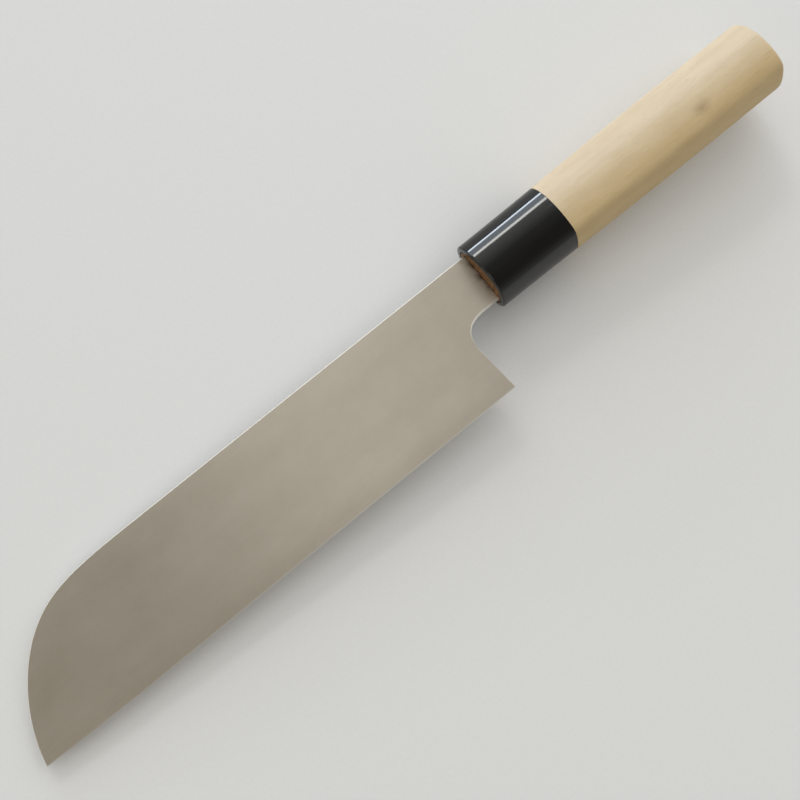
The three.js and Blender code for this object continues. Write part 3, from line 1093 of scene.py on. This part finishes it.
# %% Floor
FLOOR_SIZE = 6.0
FLOOR_CUTS = 3
NOSE_REST = 4.0
NOSE_CLEARANCE = 0.3
FERRULE_CLEARANCE = 0.1
FLOOR_TONES = [(0.3, (0.78, 0.775, 0.765)), (0.7, (0.80, 0.795, 0.785))]
FLOOR_ROUGHNESS = 0.9
FLOOR_SHINE = 0.1

floor_rise = front_z - ferrule_low.z - NOSE_CLEARANCE * MM
floor_run = mouth_x - (point_x + NOSE_REST * MM)
floor_lean = math.atan2(floor_rise, floor_run)


def pale_floor():
    """Matt pale paper with the faintest grain."""
    material, tree, shader, vector = new_material("pale_floor")
    grain = stretched_noise(tree, vector, (1, 1, 1), size=900.0, detail=3.0)
    tree.links.new(ramp(tree, grain, FLOOR_TONES), shader.inputs["Base Color"])
    shader.inputs["Roughness"].default_value = FLOOR_ROUGHNESS
    shader.inputs["Specular IOR Level"].default_value = FLOOR_SHINE
    return material


start_fresh()
bpy.ops.mesh.primitive_plane_add(size=FLOOR_SIZE)
floor = bpy.context.object
floor.name = "floor"
edit(floor)
bpy.ops.mesh.subdivide(number_cuts=FLOOR_CUTS)
bpy.ops.object.mode_set(mode="OBJECT")
floor.rotation_euler = (0, floor_lean, 0)
floor.location = (mouth_x, 0, ferrule_low.z - FERRULE_CLEARANCE * MM)
floor.data.materials.append(pale_floor())
print("floor leans", round(math.degrees(floor_lean), 2), "degrees")

# %% [markdown]
# ## Lamps
# Soft studio light from the spine's side. Two long strips draw the two highlights along the ferrule, a warm
# one a third of the way up and a cool one close to the floor, with a dimmer panel between them. They are
# large and stand far off, because a small lamp close to the floor would burn a hot spot into it. A broad
# panel beyond the butt and a faint one overhead let the satin blade fade from light at the neck to darker
# at the nose, and a weak warm panel from the nose's side fills the shade. A lamp's energy grows with its
# area, so each is given by its brightness, and its energy is worked out from that.

# %% Lamps
STRIP_LENGTH = 0.8


def softbox(name, towards, away, size, radiance, colour):
    """A rectangular lamp of even brightness, seen from the ferrule in one direction at one distance."""
    centre = place(ferrule_length / 2, 0)
    where = centre + Vector(towards).normalized() * away
    start_fresh()
    bpy.ops.object.light_add(type="AREA", location=where)
    lamp = bpy.context.object
    lamp.name = name
    lamp.data.shape = "RECTANGLE"
    lamp.data.size, lamp.data.size_y = size
    lamp.data.energy = radiance * math.pi * size[0] * size[1]
    lamp.data.color = colour
    lamp.rotation_euler = (centre - where).to_track_quat("-Z", "Y").to_euler()
    print(name, "gives", round(lamp.data.energy, 2), "W")


softbox("warm_strip", towards=(0.25, 0.83, 0.52), away=2.7, size=(STRIP_LENGTH, 0.27),
        radiance=12.0, colour=(1.0, 0.99, 0.94))
softbox("cool_strip", towards=(0.27, 0.96, 0.155), away=2.7, size=(STRIP_LENGTH, 0.255),
        radiance=14.0, colour=(0.84, 0.92, 1.0))
softbox("side_panel", towards=(0.26, 0.92, 0.30), away=2.76, size=(2.7, 1.08),
        radiance=2.5, colour=(0.80, 0.90, 1.0))
softbox("broad_panel", towards=(0.76, 0.12, 0.63), away=1.6, size=(2.1, 1.4),
        radiance=1.25, colour=(0.97, 0.99, 1.0))
softbox("top_panel", towards=(-0.08, 0.03, 1.0), away=0.8, size=(0.2, 0.2),
        radiance=1.0, colour=(0.98, 1.0, 1.0))
softbox("fill_panel", towards=(-0.92, -0.1, 0.38), away=1.6, size=(1.4, 1.1),
        radiance=0.85, colour=(1.0, 0.95, 0.88))

# %% [markdown]
# ## Room
# The room is brightest beyond the spine, dim and warm just behind the edge, and a little lighter again low
# down there, which rounds the handle and keeps the ferrule's crown dark. More lamps could do it, but each
# would show as one more streak on the gloss. A world whose colour depends on its direction changes
# smoothly.

# %% Room
ROOM_REACH = 0.95
ROOM_SHADES = [
    (0.0, (0.52, 0.515, 0.50)),
    (0.2, (0.28, 0.27, 0.245)),
    (0.34, (0.21, 0.19, 0.155)),
    (0.5, (0.22, 0.21, 0.19)),
    (0.67, (0.37, 0.365, 0.35)),
    (0.895, (1.25, 1.25, 1.22)),
    (1.0, (0.55, 0.62, 0.72)),
]

world = bpy.data.worlds.new("soft_room")
world.use_nodes = True
room = world.node_tree
direction = room.nodes.new("ShaderNodeTexCoord").outputs["Generated"]
shade = map_range(room, split_axis(room, direction, "Y"), -ROOM_REACH, ROOM_REACH, 0.0, 1.0)
room.links.new(ramp(room, shade, ROOM_SHADES), room.nodes["Background"].inputs["Color"])
bpy.context.scene.world = world
bpy.context.scene.view_settings.view_transform = "Standard"
print("a room of", len(ROOM_SHADES), "shades")

# %% [markdown]
# ## Camera
# The photograph looks almost straight down on the blade's back, with the knife turned so that its handle
# points to the upper right and the point leans a few degrees towards the lens. The distance and lens are
# those that make the spine and the edge come out parallel.

# %% Camera
LENS = 43.4
VIEW_DISTANCE = 296.6
VIEW_TURN = 39.0
VIEW_TILT = 4.75
AIM_AHEAD = -44.0
AIM_ACROSS = -13.96

tilt = Matrix.Rotation(math.radians(-VIEW_TILT), 3, "Y")
turn = tilt @ Matrix.Rotation(math.radians(-VIEW_TURN), 3, "Z")
start_fresh()
bpy.ops.object.camera_add()
camera = bpy.context.object
camera.name = "camera"
camera.data.lens = LENS
camera.rotation_euler = turn.to_euler()
camera.location = place(AIM_AHEAD, AIM_ACROSS, back_up) + turn @ Vector((0, 0, VIEW_DISTANCE * MM))
bpy.context.scene.camera = camera
print("camera at", tuple(round(c, 4) for c in camera.location))
